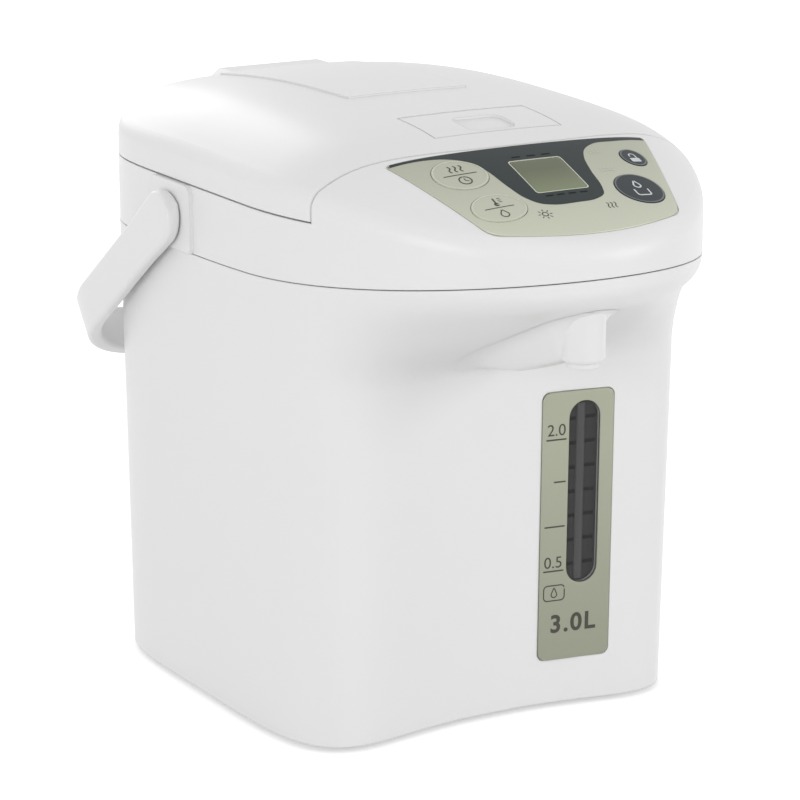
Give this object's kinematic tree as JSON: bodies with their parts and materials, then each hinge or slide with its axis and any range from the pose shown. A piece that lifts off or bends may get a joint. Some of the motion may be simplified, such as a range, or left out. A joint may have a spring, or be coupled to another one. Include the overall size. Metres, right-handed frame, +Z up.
{
  "type": "electric thermo pot",
  "caption": "Upright electric thermo pot with a hinged lid, swinging carry handle, sloping control panel, pump spout under an overhang and a water gauge on its hollow front.",
  "frame": {"origin": "on the plane that the feet stand on, below the middle of the pot with its handle down", "axes": "+Z up, +X to the right as seen by a person who stands in front, +Y from the front with the panel to the back"},
  "size_m": [0.2166, 0.3096, 0.2683],
  "materials": {
    "body_white": "glossy moulded white",
    "liner_white": "satin moulded white",
    "base_grey": "matt moulded light grey",
    "foot_rubber": "matt dark",
    "steel": "brushed stainless",
    "bracket_steel": "zinc plated",
    "silicone": "matt pale silicone",
    "heater_metal": "satin",
    "circuit_green": "matt",
    "motor_metal": "satin",
    "pump_plastic": "matt natural",
    "champagne": "satin metallic champagne",
    "key_champagne": "satin metallic champagne",
    "key_dark": "satin dark blue grey",
    "display_window": "clear",
    "display": "satin olive",
    "gauge_glass": "smoked clear",
    "contact_metal": "satin"
  },
  "bodies": {
    "pot": {"outer_body": "body_white", "upper_cover": "body_white", "spout_nozzle": "body_white", "base_cover": "base_grey", "power_socket": "base_grey", "feet": "foot_rubber", "inner_tank": "steel", "tank_support": "bracket_steel", "base_screws": "bracket_steel", "hinge_pin": "bracket_steel", "tank_seal": "silicone", "pump_inlet_hose": "silicone", "pump_outlet_hose": "silicone", "outlet_hose": "silicone", "heater": "heater_metal", "thermostat": "heater_metal", "power_board": "circuit_green", "control_board": "circuit_green", "pump_motor": "motor_metal", "pump_housing": "pump_plastic", "panel_overlay": "champagne", "gauge_plate": "champagne", "lcd_window": "display_window", "lcd_module": "display", "gauge_window": "gauge_glass", "gauge_tube": "gauge_glass", "socket_pins": "contact_metal"},
    "lid": {"lid_outer": "body_white", "lid_inner": "liner_white", "lid_plate": "steel", "lid_gasket": "silicone", "steam_valve": "liner_white", "lever_pin": "bracket_steel"},
    "lid_lever": {"lid_lever": "body_white"},
    "handle": {"handle": "body_white", "handle_clip_left": "bracket_steel", "handle_clip_right": "bracket_steel"},
    "key_reboil": {"key_reboil": "key_champagne"},
    "key_temperature": {"key_temperature": "key_champagne"},
    "key_lock": {"key_lock": "key_dark"},
    "key_pump": {"key_pump": "key_dark"},
    "pump_impeller": {"pump_impeller": "pump_plastic"}
  },
  "joints": [
    {"name": "lid_hinge", "type": "hinge", "parent": "pot", "child": "lid", "pos_m": [0, 0.1357, 0.2335], "axis": [-1, 0, 0], "range_deg": [0, 92]},
    {"name": "lever_hinge", "type": "hinge", "parent": "lid", "child": "lid_lever", "pos_m": [0, -0.0388, 0.26183], "axis": [-1, 0, 0], "range_deg": [0, 20], "stiffness_Nm_per_rad": 0.06},
    {"name": "handle_swing", "type": "hinge", "parent": "pot", "child": "handle", "pos_m": [0, 0.0412, 0.2165], "axis": [1, 0, 0], "range_deg": [0, 126.4]},
    {"name": "key_reboil_press", "type": "slide", "parent": "pot", "child": "key_reboil", "axis": [0, 0.3584, -0.9336], "range_m": [0, 0.0008], "stiffness_N_per_m": 400},
    {"name": "key_temperature_press", "type": "slide", "parent": "pot", "child": "key_temperature", "axis": [0, 0.3584, -0.9336], "range_m": [0, 0.0008], "stiffness_N_per_m": 400},
    {"name": "key_lock_press", "type": "slide", "parent": "pot", "child": "key_lock", "axis": [0, 0.3584, -0.9336], "range_m": [0, 0.0008], "stiffness_N_per_m": 400},
    {"name": "key_pump_press", "type": "slide", "parent": "pot", "child": "key_pump", "axis": [0, 0.3584, -0.9336], "range_m": [0, 0.0008], "stiffness_N_per_m": 400},
    {"name": "impeller_spin", "type": "hinge", "parent": "pot", "child": "pump_impeller", "pos_m": [0.034, -0.0343, 0.03], "axis": [0, 0, 1], "continuous": true}
  ]
}
